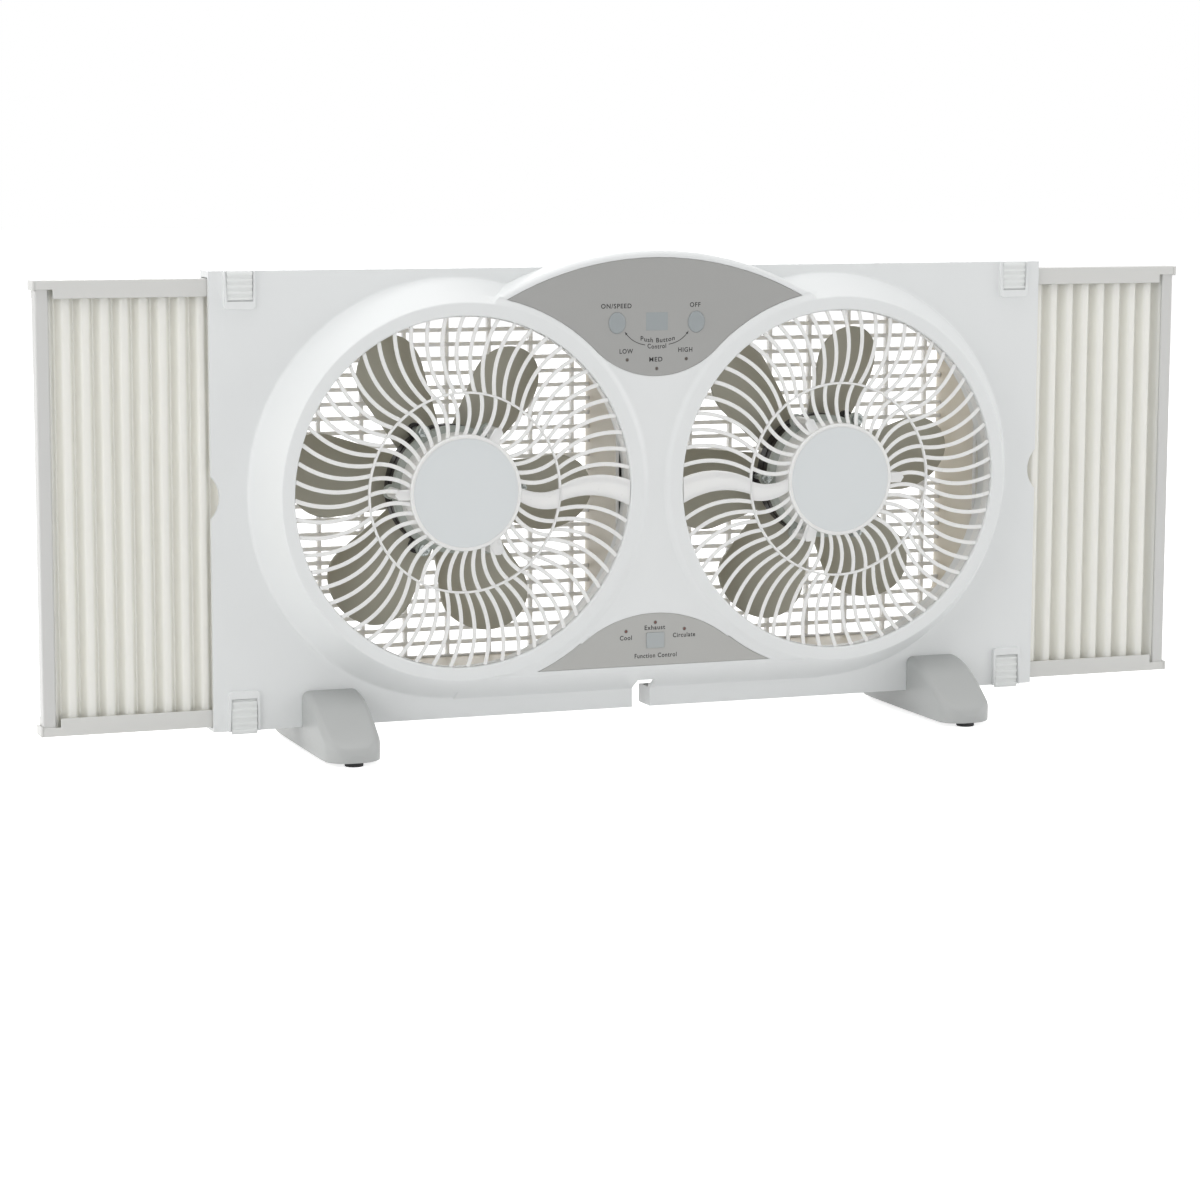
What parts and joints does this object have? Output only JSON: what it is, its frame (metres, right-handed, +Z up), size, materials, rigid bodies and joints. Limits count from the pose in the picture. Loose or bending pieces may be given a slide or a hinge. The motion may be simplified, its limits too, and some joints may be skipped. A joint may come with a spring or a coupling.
{
  "type": "window fan",
  "caption": "Twin window fan with side-by-side grilled air openings, pull-out pleated side panels, a push-button panel and saddle feet.",
  "frame": {"origin": "on the ground under the middle of the fan, side panels pulled out", "axes": "+X to the right along the width, +Z up, the control side faces -Y"},
  "size_m": [0.8566, 0.149, 0.3418],
  "materials": {
    "white_cover": "smooth satin white moulding",
    "cream_moulding": "plain off-white moulding",
    "white_grille": "smooth white moulding",
    "cast_bell": "grey motor casting",
    "core_steel": "stacked sheet steel",
    "winding": "lacquered copper wire",
    "plated_steel": "zinc-plated screws and nuts",
    "bronze": "sintered bronze bushes",
    "shaft_steel": "ground steel shaft",
    "grey_impeller": "warm grey moulded blades",
    "lead_sheath": "soft vinyl sheath",
    "grey_panel": "flat grey printed panel",
    "key_grey": "bluish grey keys",
    "dark_lens": "unlit dark lamp lens",
    "red_lens": "unlit reddish lamp lens",
    "board_green": "lacquered circuit board",
    "switch_black": "black push switches",
    "capacitor_case": "plastic capacitor case",
    "foot_grey": "light grey moulded foot",
    "pad_rubber": "black rubber pad",
    "rail_white": "white rail and post mouldings",
    "pleat_cream": "thin cream pleated sheet",
    "lock_white": "ribbed white slider"
  },
  "bodies": {
    "housing": {"front_cover": "white_cover", "rear_cover": "cream_moulding", "left_front_grille": "white_grille", "right_front_grille": "white_grille", "left_rear_bars": "cream_moulding", "right_rear_bars": "cream_moulding", "left_rear_ribs": "cream_moulding", "right_rear_ribs": "cream_moulding", "left_motor_front_bell": "cast_bell", "right_motor_front_bell": "cast_bell", "left_stator": "core_steel", "right_stator": "core_steel", "left_windings": "winding", "right_windings": "winding", "left_motor_rear_bell": "cast_bell", "right_motor_rear_bell": "cast_bell", "left_motor_screws": "plated_steel", "right_motor_screws": "plated_steel", "left_bearings": "bronze", "right_bearings": "bronze", "left_motor_lead": "lead_sheath", "right_motor_lead": "lead_sheath", "upper_panel": "grey_panel", "lower_panel": "grey_panel", "receiver_window": "key_grey", "speed_lamps": "dark_lens", "mode_lamps": "red_lens", "circuit_boards": "board_green", "tact_switches": "switch_black", "run_capacitors": "capacitor_case", "cord_gland": "cream_moulding", "left_foot": "foot_grey", "right_foot": "foot_grey", "foot_pads": "pad_rubber", "housing_screws": "plated_steel", "left_pleats": "pleat_cream", "right_pleats": "pleat_cream"},
    "left_rotor": {"left_shaft": "shaft_steel", "left_rotor_core": "core_steel", "left_impeller": "grey_impeller", "left_impeller_nut": "plated_steel"},
    "right_rotor": {"right_shaft": "shaft_steel", "right_rotor_core": "core_steel", "right_impeller": "grey_impeller", "right_impeller_nut": "plated_steel"},
    "left_side_panel": {"left_post": "rail_white", "left_top_rail": "rail_white", "left_bottom_rail": "rail_white", "left_rail_caps": "rail_white"},
    "right_side_panel": {"right_post": "rail_white", "right_top_rail": "rail_white", "right_bottom_rail": "rail_white", "right_rail_caps": "rail_white"},
    "on_key": {"on_button": "key_grey"},
    "off_key": {"off_button": "key_grey"},
    "function_key": {"function_button": "key_grey"},
    "left_upper_lock": {"left_top_lock": "lock_white"},
    "left_lower_lock": {"left_bottom_lock": "lock_white"},
    "right_upper_lock": {"right_top_lock": "lock_white"},
    "right_lower_lock": {"right_bottom_lock": "lock_white"}
  },
  "joints": [
    {"name": "left_fan_spin", "type": "hinge", "parent": "housing", "child": "left_rotor", "pos_m": [-0.14, 0, 0.1785], "axis": [0, 1, 0], "continuous": true},
    {"name": "right_fan_spin", "type": "hinge", "parent": "housing", "child": "right_rotor", "pos_m": [0.14, 0, 0.1785], "axis": [0, 1, 0], "continuous": true},
    {"name": "left_side_panel_slide", "type": "slide", "parent": "housing", "child": "left_side_panel", "axis": [1, 0, 0], "range_m": [0, 0.108], "deforming": ["left_pleats"]},
    {"name": "right_side_panel_slide", "type": "slide", "parent": "housing", "child": "right_side_panel", "axis": [1, 0, 0], "range_m": [-0.108, 0], "deforming": ["right_pleats"]},
    {"name": "left_upper_lock_slide", "type": "slide", "parent": "housing", "child": "left_upper_lock", "axis": [0, 0, 1], "range_m": [0, 0.006]},
    {"name": "left_lower_lock_slide", "type": "slide", "parent": "housing", "child": "left_lower_lock", "axis": [0, 0, -1], "range_m": [0, 0.006]},
    {"name": "right_upper_lock_slide", "type": "slide", "parent": "housing", "child": "right_upper_lock", "axis": [0, 0, 1], "range_m": [0, 0.006]},
    {"name": "right_lower_lock_slide", "type": "slide", "parent": "housing", "child": "right_lower_lock", "axis": [0, 0, -1], "range_m": [0, 0.006]},
    {"name": "on_key_press", "type": "slide", "parent": "housing", "child": "on_key", "axis": [0, 1, 0], "range_m": [0, 0.001], "stiffness_N_per_m": 400, "springref_m": -0.0002},
    {"name": "off_key_press", "type": "slide", "parent": "housing", "child": "off_key", "axis": [0, 1, 0], "range_m": [0, 0.001], "stiffness_N_per_m": 400, "springref_m": -0.0002},
    {"name": "function_key_press", "type": "slide", "parent": "housing", "child": "function_key", "axis": [0, 1, 0], "range_m": [0, 0.001], "stiffness_N_per_m": 400, "springref_m": -0.0002}
  ]
}
